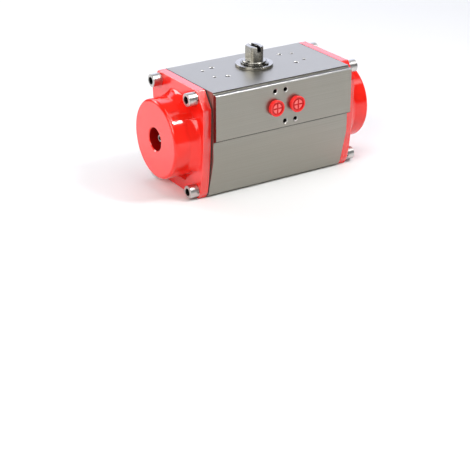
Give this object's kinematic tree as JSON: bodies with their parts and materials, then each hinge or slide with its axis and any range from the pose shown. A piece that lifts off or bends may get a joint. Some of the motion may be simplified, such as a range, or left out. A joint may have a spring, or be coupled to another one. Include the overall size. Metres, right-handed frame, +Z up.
{
  "type": "rotary pneumatic actuator",
  "caption": "Rack-and-pinion pneumatic quarter-turn actuator with spring return, red end caps, a slotted drive shaft on top and a star drive socket below.",
  "frame": {"origin": "where the drive shaft's axis meets the base plane that bolts to the valve", "axes": "+X along the cylinder, -Y out of the face with the air ports, +Z up the drive shaft"},
  "size_m": [0.2274, 0.1085, 0.13],
  "materials": {
    "body_aluminium": "satin, finely brushed along the cylinder",
    "red_coating": "glossy powder coat",
    "black_gasket": "matt",
    "stainless": "bright turned stainless steel",
    "shaft_steel": "turned and nickel plated",
    "cast_aluminium": "die cast, matt",
    "spring_steel": "dark phosphate coated wire",
    "rubber": "matt nitrile rubber",
    "white_plastic": "matt natural acetal",
    "red_plastic": "moulded polyethylene"
  },
  "bodies": {
    "housing": {"body": "body_aluminium", "end_cap_left": "red_coating", "gasket_left": "black_gasket", "cap_screw_left_1": "stainless", "lock_washer_left_1": "stainless", "cap_screw_left_2": "stainless", "lock_washer_left_2": "stainless", "cap_screw_left_3": "stainless", "lock_washer_left_3": "stainless", "cap_screw_left_4": "stainless", "lock_washer_left_4": "stainless", "stop_nut_left": "stainless", "outer_spring_left": "spring_steel", "inner_spring_left": "spring_steel", "end_cap_right": "red_coating", "gasket_right": "black_gasket", "cap_screw_right_1": "stainless", "lock_washer_right_1": "stainless", "cap_screw_right_2": "stainless", "lock_washer_right_2": "stainless", "cap_screw_right_3": "stainless", "lock_washer_right_3": "stainless", "cap_screw_right_4": "stainless", "lock_washer_right_4": "stainless", "stop_nut_right": "stainless", "outer_spring_right": "spring_steel", "inner_spring_right": "spring_steel", "thrust_ring": "white_plastic", "upper_bush": "white_plastic", "lower_bush": "white_plastic", "upper_seal": "rubber", "lower_seal": "rubber"},
    "pinion": {"pinion": "shaft_steel", "circlip": "shaft_steel", "top_disc": "shaft_steel"},
    "piston_left": {"piston_left": "cast_aluminium", "piston_seal_left": "rubber", "piston_guide_ring_left": "white_plastic", "rack_guide_pad_left": "white_plastic"},
    "piston_right": {"piston_right": "cast_aluminium", "piston_seal_right": "rubber", "piston_guide_ring_right": "white_plastic", "rack_guide_pad_right": "white_plastic"},
    "stop_screw_left": {"stop_screw_left": "stainless"},
    "stop_screw_right": {"stop_screw_right": "stainless"},
    "port_plug_a": {"port_plug_a": "red_plastic"},
    "port_plug_b": {"port_plug_b": "red_plastic"}
  },
  "joints": [
    {"name": "pinion_turn", "type": "hinge", "parent": "housing", "child": "pinion", "pos_m": [0, 0, 0.055], "axis": [0, 0, 1], "range_deg": [0, 90], "stiffness_Nm_per_rad": 2, "springref_deg": -28.65},
    {"name": "piston_left_slide", "type": "slide", "parent": "housing", "child": "piston_left", "axis": [-1, 0, 0], "range_m": [0, 0.0252], "deforming": ["outer_spring_left", "inner_spring_left"]},
    {"name": "piston_right_slide", "type": "slide", "parent": "housing", "child": "piston_right", "axis": [1, 0, 0], "range_m": [0, 0.0252], "deforming": ["outer_spring_right", "inner_spring_right"]},
    {"name": "stop_screw_left_adjust", "type": "slide", "parent": "housing", "child": "stop_screw_left", "axis": [-1, 0, 0], "range_m": [0, 0.004]},
    {"name": "stop_screw_right_adjust", "type": "slide", "parent": "housing", "child": "stop_screw_right", "axis": [1, 0, 0], "range_m": [0, 0.004]},
    {"name": "port_plug_a_pull", "type": "slide", "parent": "housing", "child": "port_plug_a", "axis": [0, -1, 0], "range_m": [0, 0.012]},
    {"name": "port_plug_b_pull", "type": "slide", "parent": "housing", "child": "port_plug_b", "axis": [0, -1, 0], "range_m": [0, 0.012]}
  ],
  "couplings": [
    {"joint": "piston_left_slide", "follows": "pinion_turn", "m_per_rad": 0.016},
    {"joint": "piston_right_slide", "follows": "pinion_turn", "m_per_rad": 0.016}
  ]
}
